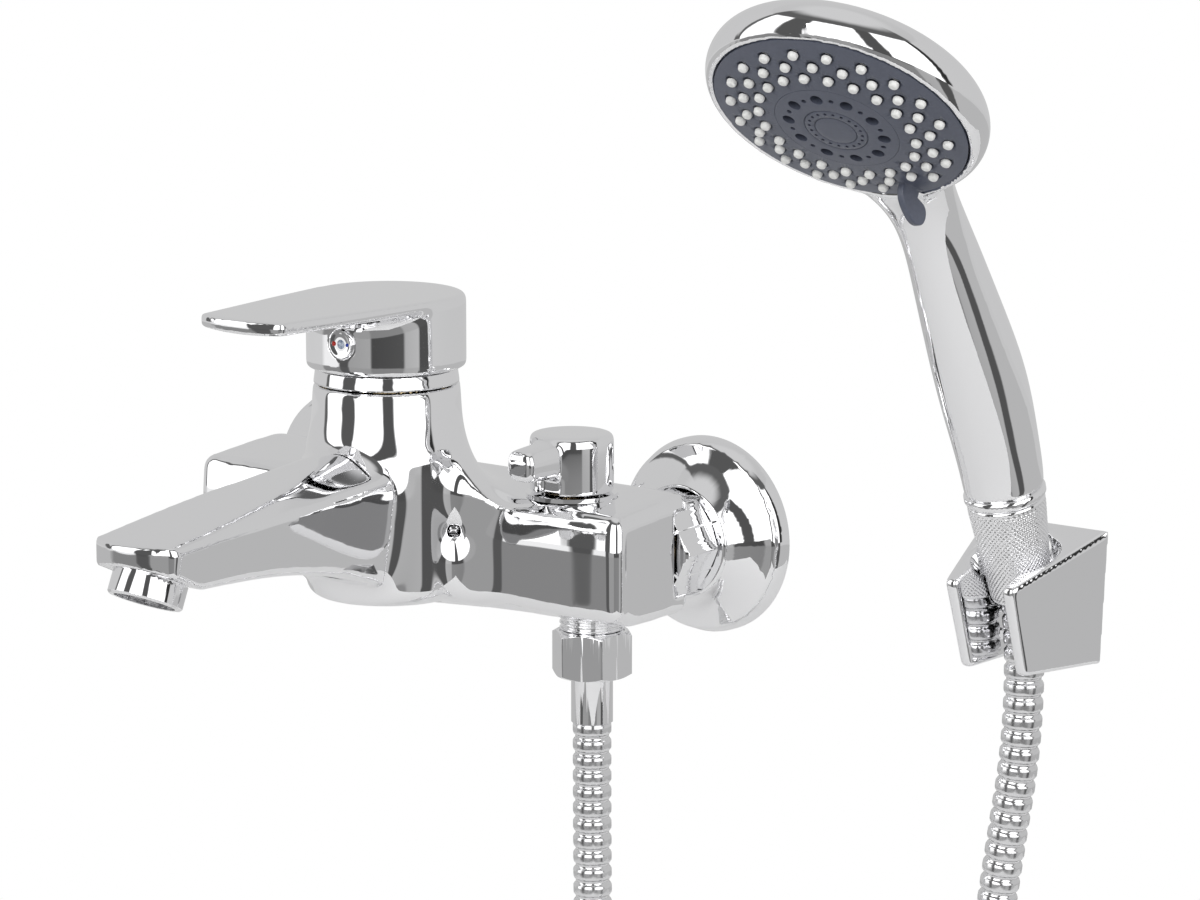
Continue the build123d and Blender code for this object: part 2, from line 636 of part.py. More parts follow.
MIXER_ROUTE = [
    (OUTLET_X, OUTLET_Y, FERRULE_END),
    (OUTLET_X, OUTLET_Y, -88.0),
    (62.6, -45.3, -128.0),
    (62.4, -45.2, -170.0),
    (COIL_LEFT, OUTLET_Y, -212.0),
    (COIL_LEFT, OUTLET_Y, COIL_Z),
]
HANDSET_ROUTE = [
    on_cone(HOSE_START),
    (BRACKET_X, SLOT_BACK, -6.76),
    (BRACKET_X, SLOT_BACK, -46.0),
    (199.3, -12.6, -82.0),
    (193.5, -13.4, -124.0),
    (192.4, -13.1, -168.0),
    (COIL_RIGHT, COIL_END_Y, -212.0),
    (COIL_RIGHT, COIL_END_Y, COIL_Z),
]


def route_wire(points):
    # Straight runs joined by tangent arcs that take 0.45 of the shorter run at each corner.
    radii = []
    for before, corner, after in zip(points, points[1:], points[2:]):
        first = Vector(*corner) - Vector(*before)
        second = Vector(*after) - Vector(*corner)
        half_turn = math.radians(first.get_angle(second)) / 2
        radii.append(0.45 * min(first.length, second.length) / math.tan(half_turn))
    print("bend radii, mm", [round(radius, 1) for radius in radii])
    return FilletPolyline(*points, radius=radii)


def ribbed_run(points):
    path = route_wire(points)
    count = round(path.length / RIB_PITCH)
    pitch = path.length / count
    stations = [(0.0, HOSE_R - 0.7)]
    for rib in range(count):
        start = rib * pitch
        stations += [(start + 0.12 * pitch, HOSE_R - 0.7), (start + 0.22 * pitch, HOSE_R),
                     (start + 0.86 * pitch, HOSE_R), (start + 0.96 * pitch, HOSE_R - 0.7)]
    stations.append((path.length, HOSE_R - 0.7))
    circles = []
    for distance, radius in stations:
        share = distance / path.length
        square = Plane(origin=path.position_at(share), x_dir=(1, 0, 0), z_dir=path.tangent_at(share))
        circles.append(square * Circle(radius))
    tube = loft(circles, ruled=True)
    start = Plane(origin=path.position_at(0), x_dir=(1, 0, 0), z_dir=path.tangent_at(0))
    tube -= sweep(start * Circle(HOSE_BORE_R), path=path)
    full = math.pi * (HOSE_R ** 2 - HOSE_BORE_R ** 2) * path.length
    print("ribs", count, "length, mm", round(path.length, 1), "volume share", round(tube.volume / full, 3))
    return tube, path.length


def coil_knot(turn):
    # Place and direction of the turns: down the left side, under, up the right side.
    angle = math.pi + 2 * math.pi * turn
    place = Vector((COIL_LEFT + COIL_RIGHT) / 2 + COIL_R * math.cos(angle), OUTLET_Y + COIL_PITCH * turn,
                   COIL_Z + COIL_R * math.sin(angle))
    rise = 0 if turn in (0, COIL_TURNS) else COIL_PITCH / (2 * math.pi * COIL_R)
    return place, Vector(-math.sin(angle), rise, math.cos(angle)).normalized()


def coil_edges():
    # Each quarter turn is two arcs that share a tangent.
    edges = []
    quarters = round(COIL_TURNS * 4)
    for step in range(quarters):
        start, leaving = coil_knot(step / 4)
        end, arriving = coil_knot((step + 1) / 4)
        chord, both = end - start, leaving + arriving
        spread = 2 * (1 - leaving.dot(arriving))
        reach = (-chord.dot(both) + math.sqrt(chord.dot(both) ** 2 + spread * chord.dot(chord))) / spread
        first, second = start + leaving * reach, end - arriving * reach
        joint = (first + second) * 0.5
        edges.append(TangentArc(start, joint, tangent=leaving))
        edges.append(TangentArc(joint, end, tangent=second - first))
    return edges


def least_gap(edges):
    # Least distance between stretches of the tube at least a quarter of a turn apart.
    points = [edge.position_at(part / 12) for edge in edges for part in range(12)]
    apart = 24
    gaps = [(points[i] - points[j]).length for i in range(len(points)) for j in range(i + apart, len(points))]
    return min(gaps) - 2 * HOSE_R


def hose_coil():
    edges = coil_edges()
    path = Wire(edges)
    section = Plane(origin=path.position_at(0), x_dir=(1, 0, 0), z_dir=path.tangent_at(0))
    tube = sweep(section * (Circle(HOSE_R) - Circle(HOSE_BORE_R)), path=path)
    print("coil length, mm", round(path.length, 1), "least gap, mm", round(least_gap(edges), 2))
    return tube, path.length


def hose_tie():
    # A strap round the turns at the bottom of the coil.
    middle = OUTLET_Y + COIL_PITCH * (COIL_TURNS / 2)
    wide, high = 2 * COIL_PITCH + 2 * HOSE_R + 0.8, 2 * HOSE_R + 0.8
    band = RectangleRounded(wide + 3.0, high + 3.0, 4.0) - RectangleRounded(wide, high, 2.6)
    bottom = ((COIL_LEFT + COIL_RIGHT) / 2 - 4, middle, COIL_Z - COIL_R)
    return extrude(Plane(origin=bottom, x_dir=(0, 1, 0), z_dir=(1, 0, 0)) * band, amount=8)


mixer_run, mixer_length = ribbed_run(MIXER_ROUTE)
handset_run, handset_length = ribbed_run(HANDSET_ROUTE)
coil, coil_length = hose_coil()
print("hose length, mm", round(mixer_length + handset_length + coil_length, 1))
keep("hose_mixer_run", mixer_run)
keep("hose_handset_run", handset_run)
keep("hose_coil", coil)
keep("hose_tie", hose_tie())


# Hand shower: built in an upright plane, then turned a little about the cone
RIM_LIP_R = FACE_R + 0.3
DOME_R = (FACE_R ** 2 + DOME_HEIGHT ** 2) / (2 * DOME_HEIGHT)


def turned_handset(shape):
    return at_cone(Rot(0, 0, HANDSET_TURN) * Rot(-SOCKET_LEAN, 0, 0) * Pos(*[-v for v in on_cone(0)]) * shape)


def at_head(shape):
    # Local Z points to the back of the head, local Y towards the handle.
    tilt = math.radians(HEAD_TILT)
    back = (0, math.cos(tilt), math.sin(tilt))
    plane = Plane(origin=(BRACKET_X, *HEAD_CENTRE), x_dir=(1, 0, 0), z_dir=back)
    return turned_handset(plane.location * shape)


HANDLE_AXIS = [
    (on_cone(36.5)[1], on_cone(36.5)[2], 12.2, 12.2),
    (-27.6, 43.6, 12.8, 12.8),
    (-33.1, 57.1, 13.5, 13.5),
    (-40.5, 72.7, 13.7, 13.7),
    (-48.1, 86.5, 12.9, 12.9),
    (-57.1, 102.3, 11.6, 11.6),
    (-66.0, 116.8, 10.6, 10.4),
    (-76.5, 129.4, 12.0, 9.8),
    (-88.0, 138.0, 18.0, 8.6),
]


def handle_solid(less, first=0):
    stations = HANDLE_AXIS[first:]
    spine = Spline(*[(BRACKET_X, y, z) for y, z, _, _ in HANDLE_AXIS])
    sections = []
    for y, z, half_width, half_depth in stations:
        heading = spine.tangent_at(spine.param_at_point(Vector(BRACKET_X, y, z)))
        if (y, z) == HANDLE_AXIS[0][:2]:
            heading = Vector(0, -math.sin(LEAN), math.cos(LEAN))
        square = Plane(origin=(BRACKET_X, y, z), x_dir=(1, 0, 0), z_dir=heading)
        sections.append(square * Ellipse(half_width - less, half_depth - less))
    return loft(sections)


def crown(edge_r, edge_z, top_z):
    # The arc of a ball-shaped back, centred on the axis, from its edge to its top.
    rise = top_z - edge_z
    ball = (edge_r ** 2 + rise ** 2) / (2 * rise)
    half = edge_r / 2
    half_z = top_z - ball + math.sqrt(ball ** 2 - half ** 2)
    return ThreePointArc((edge_r, edge_z), (half, half_z), (0, top_z))


def head_solid():
    rim = ThreePointArc((RIM_LIP_R, -1.4), (RIM_R, 6.4), (RIM_R - 5.0, RIM_BACK))
    back = crown(RIM_R - 5.0, RIM_BACK, HEAD_BACK)
    closing = Polyline((0, HEAD_BACK), (0, -1.4), (RIM_LIP_R, -1.4))
    return revolve(Plane.XZ * make_face(Wire([rim, back, *closing.edges()])), Axis.Z)


def head_cavity():
    front = Polyline((0, 18.4), (0, -2.0), (RIM_LIP_R, -2.0), (RIM_LIP_R, 1.3), (36.4, 1.3))
    side = ThreePointArc((36.4, 1.3), (39.5, 6.4), (34.8, 12.6))
    back = crown(34.8, 12.6, 18.4)
    return revolve(Plane.XZ * make_face(Wire([*front.edges(), side, back])), Axis.Z)


def handset_shell():
    solid = turned_handset(handle_solid(0)) + at_head(head_solid())
    solid -= turned_handset(handle_solid(WALL, first=1))
    solid -= at_head(head_cavity())
    return solid - at_cone(rod(9.05, 30.0, 50.0))


def handset_inlet():
    outline = [(5.0, 24.8)] + [(OUTLET_R - THREAD_DEPTH, 24.8), (OUTLET_R, 25.8), (OUTLET_R, 33.0)]
    collar = [(11.6, 33.0), (12.6, 34.0), (12.6, 35.4), (11.8, 36.5), (9.0, 36.5), (9.0, 50.0), (5.0, 50.0)]
    return turned(*outline, *collar)


def handset_tube():
    # The water tube runs up the middle of the handle into the distributor.
    points = [on_cone(50.0)] + [(BRACKET_X, y, z) for y, z, _, _ in HANDLE_AXIS[3:8]]
    points.append((BRACKET_X, -90.3, 138.0))
    path = Spline(*points)
    start = Plane(origin=path.position_at(0), x_dir=(1, 0, 0), z_dir=path.tangent_at(0))
    return sweep(start * (Circle(4.0) - Circle(3.2)), path=path)


def distributor():
    return rod(34.0, 3.0, 12.0) + rod(6.0, -1.0, 3.0) + rod(8.0, 12.0, 18.05)


def dome_z(radius):
    return -(math.sqrt(DOME_R ** 2 - radius ** 2) - (DOME_R - DOME_HEIGHT))


def dome_plate(inner, outer):
    middle = (inner + outer) / 2
    front = ThreePointArc((outer, dome_z(outer)), (middle, dome_z(middle)), (inner, dome_z(inner)))
    sides = Polyline((inner, dome_z(inner)), (inner, 1.0), (outer, 1.0), (outer, dome_z(outer)))
    return revolve(Plane.XZ * make_face(Wire([front, *sides.edges()])), Axis.Z)


def polar(radius, angle):
    # Angles run clockwise from the edge farthest from the handle.
    turn = math.radians(angle)
    return Pos(radius * math.sin(turn), -radius * math.cos(turn), 0)


def nozzle_places():
    outer, middle, inner = NOZZLE_ROWS
    places = [(outer, NOZZLE_ANGLE + 18 * step) for step in range(1, 20)]
    places += [(middle, NOZZLE_ANGLE + 9 + 18 * step) for step in range(20)]
    return places + [(inner, NOZZLE_ANGLE + 18 * step) for step in range(20)]


def selector_fin():
    # A thumb fin, upright on the plate along a radius, that leans out over the rim.
    crest = Spline((30.4, -1.4), (32.4, -6.2), (36.0, -8.4), (40.0, -9.3), (43.0, -7.6), (43.0, -4.2),
                   (40.4, -2.1))
    foot = Polyline((40.4, -2.1), (37.4, -1.8), (37.2, 0.2), (30.4, 0.2), (30.4, -1.4))
    outline = make_face(Wire([crest, *foot.edges()]))
    fin = extrude(Plane.YZ * outline, amount=FIN_HALF, both=True)
    return fillet([edge for edge in fin.edges() if edge.length > 20.0], 0.5)


def spray_face():
    # Each nozzle stands in a shallow recess of the outer plate.
    solid = dome_plate(CENTRE_R + 0.1, FACE_R)
    for radius, angle in nozzle_places():
        solid -= polar(radius, angle) * rod(NOZZLE_R + 0.05, -6.0, 2.0)
        solid -= polar(radius, angle) * rod(NOZZLE_R + 0.5, -6.0, dome_z(radius) + 0.7)
    return solid + Rot(0, 0, FIN_ANGLE + 180) * selector_fin()


def spray_nozzles():
    mat = ring(36.0, 20.0, 1.0, 1.9)
    for radius, angle in nozzle_places():
        tip = Pos(0, 0, dome_z(radius) - NOZZLE_RISE) * Cone(1.3, NOZZLE_R, NOZZLE_RISE, align=UP)
        mat += polar(radius, angle) * (rod(NOZZLE_R, dome_z(radius), 1.0) + tip)
    return mat


def spray_centre():
    solid = dome_plate(0.0, CENTRE_R) - rod(6.05, -1.2, 1.0)
    for step in range(10):
        solid -= polar(14.2, NOZZLE_ANGLE + 18 + 36 * step) * rod(1.9, -6.0, 1.0)
        solid -= polar(14.2, NOZZLE_ANGLE + 36 * step) * rod(0.75, -6.0, 1.0)
    for step in range(20):
        solid -= polar(7.9, NOZZLE_ANGLE + 18 * step) * rod(0.5, -6.0, 1.0)
    for radius in (6.4, 9.6):
        solid -= ring(radius, radius - 0.35, -5.0, dome_z(radius) + 0.3)
    return solid


keep("handset_inlet", at_cone(handset_inlet()))
keep("handset_shell", handset_shell())
keep("handset_tube", turned_handset(handset_tube()))
keep("handset_distributor", at_head(distributor()))
keep("spray_face", at_head(spray_face()))
keep("spray_nozzles", at_head(spray_nozzles()))
keep("spray_centre", at_head(spray_centre()))


for name, shape in PARTS.items():
    export_step(shape, "parts/" + name + ".step")
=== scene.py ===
import json
import math

import bmesh
import bpy
import numpy as np
from mathutils import Matrix, Vector

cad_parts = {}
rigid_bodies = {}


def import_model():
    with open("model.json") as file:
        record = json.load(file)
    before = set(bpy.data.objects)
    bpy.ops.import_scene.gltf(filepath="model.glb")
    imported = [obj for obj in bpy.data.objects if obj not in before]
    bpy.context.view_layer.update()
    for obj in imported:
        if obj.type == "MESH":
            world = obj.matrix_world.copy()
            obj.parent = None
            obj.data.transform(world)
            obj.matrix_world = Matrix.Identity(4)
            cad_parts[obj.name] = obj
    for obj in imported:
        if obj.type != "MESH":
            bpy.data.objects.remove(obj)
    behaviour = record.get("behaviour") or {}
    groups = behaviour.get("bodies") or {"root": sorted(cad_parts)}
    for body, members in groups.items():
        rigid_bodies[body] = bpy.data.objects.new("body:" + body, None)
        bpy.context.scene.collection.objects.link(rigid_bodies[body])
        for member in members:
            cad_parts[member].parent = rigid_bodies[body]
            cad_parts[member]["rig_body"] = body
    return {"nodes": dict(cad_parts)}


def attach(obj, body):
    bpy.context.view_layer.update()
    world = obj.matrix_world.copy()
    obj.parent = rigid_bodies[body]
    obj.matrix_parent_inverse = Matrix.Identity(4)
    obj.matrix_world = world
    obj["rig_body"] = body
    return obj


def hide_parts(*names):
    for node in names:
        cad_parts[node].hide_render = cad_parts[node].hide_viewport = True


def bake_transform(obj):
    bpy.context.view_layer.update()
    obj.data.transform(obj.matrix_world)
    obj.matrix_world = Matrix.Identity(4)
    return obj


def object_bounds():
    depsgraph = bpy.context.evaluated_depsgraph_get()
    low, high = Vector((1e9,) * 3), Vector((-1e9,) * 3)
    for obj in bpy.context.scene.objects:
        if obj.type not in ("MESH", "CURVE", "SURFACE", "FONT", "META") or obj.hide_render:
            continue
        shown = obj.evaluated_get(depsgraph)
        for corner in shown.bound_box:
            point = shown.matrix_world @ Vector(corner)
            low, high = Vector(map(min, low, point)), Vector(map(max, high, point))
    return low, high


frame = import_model()
solid_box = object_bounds()
bpy.ops.object.select_all(action="DESELECT")
bpy.context.scene.view_settings.view_transform = "Standard"


# Camera
# A long lens a step and a half away, to the right of the mixer and a little above it.
# Its shift from the object's middle is all in its place, so it needs no lens shift.
VIEW_TURN = math.radians(38.273)
VIEW_RISE = math.radians(10.624)
VIEW_DISTANCE = 1.66429
LENS_MM = 150.0
SENSOR_MM = 36.0
FRAME_WIDE, FRAME_HIGH = 1200, 900
AIM_X, AIM_Y = 529.86, 504.86
AIM_HEIGHT = 0.010

right = Vector((math.cos(VIEW_TURN), math.sin(VIEW_TURN), 0))
ahead = Vector((-math.sin(VIEW_TURN) * math.cos(VIEW_RISE), math.cos(VIEW_TURN) * math.cos(VIEW_RISE),
                -math.sin(VIEW_RISE)))
up = right.cross(ahead)
per_pixel = VIEW_DISTANCE * SENSOR_MM / LENS_MM / FRAME_WIDE
eye = Vector((0, 0, AIM_HEIGHT)) - VIEW_DISTANCE * ahead
eye += (FRAME_WIDE / 2 - AIM_X) * per_pixel * right + (AIM_Y - FRAME_HIGH / 2) * per_pixel * up

camera = bpy.data.objects.new("camera", bpy.data.cameras.new("camera"))
bpy.context.scene.collection.objects.link(camera)
camera.data.lens = LENS_MM
camera.data.sensor_width = SENSOR_MM
camera.data.clip_end = 20
camera.matrix_world = Matrix.Translation(eye) @ Matrix((right, up, -ahead)).transposed().to_4x4()
bpy.context.scene.camera = camera


# Studio
# A white room with a pale floor under the hanging hose. Two tall white windows stand left
# and right of the camera, with dark gaps beside them, and paler walls go round behind.
# Each level is the sine of the height at which one ring of the room ends and the next begins.
FLOOR_GAP = 0.004
FLOOR_SIDE = 1.2
ROOM_STRENGTH = 2.0
LAMP_AWAY = 1.5
LAMP_SIZE = 0.7
FLOOR_LEVEL = math.sin(math.radians(-10.7))
SILL = math.sin(math.radians(-7.6))
WINDOW_TOP = math.sin(math.radians(46.0))
CEILING = math.sin(math.radians(62.0))
# Places round the room, in degrees to the right of the camera, and how bright each is.
NEAR_FLOOR = [(-180, 0.5), (-104, 0.5), (-98, 0.25), (-69, 0.25), (-67, 0.10), (-54, 0.10),
              (-52, 0.34), (-21, 0.34), (-18, 0.24), (27, 0.26), (30, 0.42), (50, 0.45), (52, 0.09),
              (66, 0.09), (69, 0.5), (180, 0.5)]
LOW_WALL = [(-180, 0.62), (-104, 0.66), (-96, 0.95), (-70, 0.95), (-68, 0.09), (-55, 0.09),
            (-53, 0.36), (-21, 0.40), (-18, 0.07), (27, 0.09), (30, 0.46), (50, 0.52), (52, 0.08),
            (66, 0.08), (68, 0.62), (100, 0.60), (180, 0.58)]
WINDOWS = [(-180, 0.60), (-108, 0.62), (-106, 0.12), (-101, 0.12), (-99, 1.5), (-72, 1.5),
           (-70, 0.10), (-49, 0.10), (-47, 1.6), (-5, 1.6), (-3, 0.09), (12, 0.09), (14, 1.6),
           (63, 1.6), (65, 0.03), (72, 0.03), (74, 0.62), (180, 0.60)]
OVER_WINDOWS = [(-180, 0.60), (-112, 0.58), (-108, 0.12), (76, 0.12), (80, 0.56), (180, 0.60)]
OVERHEAD = [(-180, 0.66), (180, 0.66)]


def white_to_camera(tree, shading, white, output):
    # The camera itself sees plain white there, and reflections and light see the shading.
    white.inputs["Color"].default_value = (1, 1, 1, 1)
    seen_by = tree.nodes.new("ShaderNodeLightPath")
    choose = tree.nodes.new("ShaderNodeMixShader")
    tree.links.new(seen_by.outputs["Is Camera Ray"], choose.inputs[0])
    tree.links.new(shading.outputs[0], choose.inputs[1])
    tree.links.new(white.outputs[0], choose.inputs[2])
    tree.links.new(choose.outputs[0], output.inputs[0])


bpy.ops.mesh.primitive_plane_add(size=FLOOR_SIDE, location=(0, 0, solid_box[0].z - FLOOR_GAP))
floor = bpy.context.object
floor.name = "studio_floor"
floor_paint = bpy.data.materials.new("studio floor paint")
floor_paint.use_nodes = True
tree = floor_paint.node_tree
paint = tree.nodes["Principled BSDF"]
paint.inputs["Base Color"].default_value = (0.86, 0.86, 0.86, 1)
paint.inputs["Roughness"].default_value = 0.9
white_to_camera(tree, paint, tree.nodes.new("ShaderNodeEmission"), tree.nodes["Material Output"])
floor.data.materials.append(floor_paint)

world = bpy.data.worlds.new("studio")
bpy.context.scene.world = world
world.use_nodes = True
tree = world.node_tree
heading = tree.nodes.new("ShaderNodeTexCoord")
axes = []
for axis in ((math.sin(VIEW_TURN), -math.cos(VIEW_TURN), 0), tuple(right), (0, 0, 1)):
    along = tree.nodes.new("ShaderNodeVectorMath")
    along.operation = "DOT_PRODUCT"
    along.inputs[1].default_value = axis
    tree.links.new(heading.outputs["Generated"], along.inputs[0])
    axes.append(along.outputs["Value"])
compass = tree.nodes.new("ShaderNodeMath")
compass.operation = "ARCTAN2"
tree.links.new(axes[1], compass.inputs[0])
tree.links.new(axes[0], compass.inputs[1])
round_room = tree.nodes.new("ShaderNodeMapRange")
round_room.inputs["From Min"].default_value = -math.pi
round_room.inputs["From Max"].default_value = math.pi
tree.links.new(compass.outputs[0], round_room.inputs["Value"])


def wall(brightness):
    # One ring of the room, as a ramp round it. Its colours are halved, and the background is
    # twice as strong, so that windows brighter than 1 fit in.
    ramp = tree.nodes.new("ShaderNodeValToRGB")
    stops = ramp.color_ramp.elements
    while len(stops) < len(brightness):
        stops.new(0.5)
    for stop, (degrees, grey) in zip(stops, brightness):
        stop.position = (degrees + 180) / 360
        stop.color = (*[grey / ROOM_STRENGTH] * 3, 1)
    tree.links.new(round_room.outputs[0], ramp.inputs[0])
    return ramp.outputs[0]


room = wall(NEAR_FLOOR)
for level, width, brightness in ((FLOOR_LEVEL, 0.006, LOW_WALL), (SILL, 0.006, WINDOWS),
                                 (WINDOW_TOP, 0.02, OVER_WINDOWS), (CEILING, 0.06, OVERHEAD)):
    over = tree.nodes.new("ShaderNodeMapRange")
    over.interpolation_type = "SMOOTHSTEP"
    over.inputs["From Min"].default_value = level - width
    over.inputs["From Max"].default_value = level + width
    tree.links.new(axes[2], over.inputs["Value"])
    stack = tree.nodes.new("ShaderNodeMix")
    stack.data_type = "RGBA"
    tree.links.new(over.outputs[0], stack.inputs["Factor"])
    tree.links.new(room, stack.inputs["A"])
    tree.links.new(wall(brightness), stack.inputs["B"])
    room = stack.outputs["Result"]
surround = tree.nodes["Background"]
surround.inputs["Strength"].default_value = ROOM_STRENGTH
tree.links.new(room, surround.inputs["Color"])
white_to_camera(tree, surround, tree.nodes.new("ShaderNodeBackground"), tree.nodes["World Output"])

for name, aside, power in (("left_lamp", -26, 5.0), ("right_lamp", 38, 4.0)):
    turn = VIEW_TURN + math.radians(aside)
    place = Vector((math.sin(turn), -math.cos(turn), 0.5)) * LAMP_AWAY
    bpy.ops.object.light_add(type="AREA", location=place)
    lamp = bpy.context.object
    lamp.name = name
    lamp.data.size = LAMP_SIZE
    lamp.data.energy = power
    lamp.rotation_euler = (-place).to_track_quat("-Z", "Y").to_euler()


# Shower hose
# Interlocked bright steel strip over a plastic tube, crimped in a ferrule at each end.
# The spare length is put away as tied turns between the two free runs.
LIFT = 0.010
HOSE_RADIUS = 0.0062
RIB_STEP = 0.0053
COIL_RADIUS = 0.065
COIL_LEVEL = -0.245
COIL_TURNS = 2.5
OUTLET_X, OUTLET_Y = 0.062, -0.045
OUTLET = Vector((OUTLET_X, OUTLET_Y, -0.0558))
LEAN = math.radians(17.0)
CONE_FOOT = Vector((0.2052, -0.024 + 0.033 * math.sin(LEAN), 0.0315 - 0.033 * math.cos(LEAN)))
CONE_WAY = Vector((0, -math.sin(LEAN), math.cos(LEAN)))
TURN_STEP = 2 * HOSE_RADIUS + 0.00055
COIL_END_Y = OUTLET.y + COIL_TURNS * TURN_STEP
POINTS_PER_TURN = 16


def plated(name, colour, rough, bump, grain):
    # Bright plate: a mirror with faint cloudy changes of gloss and the slightest ripple.
    material = bpy.data.materials.new(name)
    material.use_nodes = True
    tree = material.node_tree
    plate = tree.nodes["Principled BSDF"]
    plate.inputs["Base Color"].default_value = (*colour, 1)
    plate.inputs["Metallic"].default_value = 1.0
    where = tree.nodes.new("ShaderNodeTexCoord")
    cloud = tree.nodes.new("ShaderNodeTexNoise")
    cloud.inputs["Scale"].default_value = grain
    cloud.inputs["Detail"].default_value = 3.0
    tree.links.new(where.outputs["Object"], cloud.inputs["Vector"])
    gloss = tree.nodes.new("ShaderNodeMapRange")
    gloss.inputs["To Min"].default_value = rough * 0.7
    gloss.inputs["To Max"].default_value = rough * 1.4
    tree.links.new(cloud.outputs["Fac"], gloss.inputs["Value"])
    tree.links.new(gloss.outputs[0], plate.inputs["Roughness"])
    if bump:
        ripple = tree.nodes.new("ShaderNodeBump")
        ripple.inputs["Strength"].default_value = bump
        ripple.inputs["Distance"].default_value = 0.0002
        tree.links.new(cloud.outputs["Fac"], ripple.inputs["Height"])
        tree.links.new(ripple.outputs[0], plate.inputs["Normal"])
    return material


hose_route = [
    OUTLET,
    (0.062, -0.045, -0.088),
    (0.0626, -0.0453, -0.128),
    (0.0624, -0.0452, -0.170),
    (0.062, -0.045, -0.212),
]
coil_middle = OUTLET.x + COIL_RADIUS
for step in range(round(COIL_TURNS * POINTS_PER_TURN) + 1):
    turn = step / POINTS_PER_TURN
    angle = math.pi + 2 * math.pi * turn
    hose_route.append((coil_middle + COIL_RADIUS * math.cos(angle), OUTLET.y + TURN_STEP * turn,
                       COIL_LEVEL + COIL_RADIUS * math.sin(angle)))
hose_route += [
    (coil_middle + COIL_RADIUS, COIL_END_Y, -0.212),
    (0.1924, -0.0131, -0.168),
    (0.1935, -0.0134, -0.124),
    (0.1993, -0.0126, -0.082),
    (0.2052, -0.0123, -0.046),
    (0.2052, -0.0123, -0.00676),
    CONE_FOOT + 0.016 * CONE_WAY,
]
curve = bpy.data.curves.new("hose_line", "CURVE")
curve.dimensions = "3D"
curve.resolution_u = 12
spline = curve.splines.new("NURBS")
spline.points.add(len(hose_route) - 1)
for point, place in zip(spline.points, hose_route):
    point.co = (*(Vector(place) + Vector((0, 0, LIFT))), 1)
spline.order_u = 3
spline.use_endpoint_u = True
line = bpy.data.objects.new("hose_line", curve)
bpy.context.scene.collection.objects.link(line)
traced = bpy.data.meshes.new_from_object(line)
trace = [vertex.co.copy() for vertex in traced.vertices]
bpy.data.objects.remove(line)

reach = [0.0]
for before, after in zip(trace, trace[1:]):
    reach.append(reach[-1] + (after - before).length)
hose_length = reach[-1]


def along_hose(distance):
    # The point and direction at that distance along the traced line.
    for i in range(1, len(reach)):
        if reach[i] >= distance or i == len(reach) - 1:
            share = (distance - reach[i - 1]) / (reach[i] - reach[i - 1])
            before = (trace[i] - trace[i - 1]).normalized()
            after = (trace[min(i + 1, len(trace) - 1)] - trace[min(i, len(trace) - 2)]).normalized()
            return trace[i - 1].lerp(trace[i], share), before.lerp(after, share).normalized()


# One rib is a flat band with rounded edges and a narrow groove after it: the share of the
# rib's length, and the share of the hose's radius there.
RIB_SHAPE = [(0.03, 0.875), (0.09, 0.965), (0.16, 0.995), (0.30, 1.0), (0.55, 1.0), (0.66, 0.99),
             (0.73, 0.955), (0.79, 0.885), (0.90, 0.870)]
AROUND = 20
mesh = bpy.data.meshes.new("shower_hose")
shape = bmesh.new()
ribs = round(hose_length / RIB_STEP)
rings = []
side = Vector((1, 0, 0))
for rib in range(ribs):
    for share, swell in RIB_SHAPE:
        place, heading = along_hose((rib + share) * hose_length / ribs)
        side = (side - side.dot(heading) * heading).normalized()
        other = heading.cross(side)
        ring = []
        for spoke in range(AROUND):
            angle = 2 * math.pi * spoke / AROUND
            out = side * math.cos(angle) + other * math.sin(angle)
            ring.append(shape.verts.new(place + out * HOSE_RADIUS * swell))
        rings.append(ring)
for ring, following in zip(rings, rings[1:]):
    for spoke in range(AROUND):
        after = (spoke + 1) % AROUND
        shape.faces.new((ring[spoke], ring[after], following[after], following[spoke]))
shape.faces.new(list(reversed(rings[0])))
shape.faces.new(rings[-1])
shape.to_mesh(mesh)
shape.free()
for face in mesh.polygons:
    face.use_smooth = True
hose = bpy.data.objects.new("shower_hose", mesh)
bpy.context.scene.collection.objects.link(hose)
hose.data.materials.append(plated("bright hose strip", (0.8, 0.8, 0.81), 0.16, 0.0, 900))
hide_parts("hose_mixer_run", "hose_coil", "hose_handset_run")
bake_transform(hose)


def painted(node, material):
    # A solid that stays as it is gets the real material.
    frame["nodes"][node].data.materials.clear()
    frame["nodes"][node].data.materials.append(material)


def finished(node, material, sharp=35.0):
    # A welded, smooth-shaded copy of a solid that takes its place, body and slot.
    source = frame["nodes"][node]
    piece = bpy.data.objects.new(node + "_finished", source.data.copy())
    bpy.context.scene.collection.objects.link(piece)
    weld = bmesh.new()
    weld.from_mesh(piece.data)
    bmesh.ops.remove_doubles(weld, verts=weld.verts, dist=2e-6)
    weld.to_mesh(piece.data)
    weld.free()
    bpy.ops.object.select_all(action="DESELECT")
    piece.select_set(True)
    bpy.context.view_layer.objects.active = piece
    if sharp:
        bpy.ops.object.shade_smooth_by_angle(angle=math.radians(sharp))
        even = piece.modifiers.new("even shading", "WEIGHTED_NORMAL")
        even.keep_sharp = True
        bpy.ops.object.modifier_apply(modifier=even.name)
    piece.data.materials.clear()
    piece.data.materials.append(material)
    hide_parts(node)
    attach(piece, source["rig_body"])
    return piece


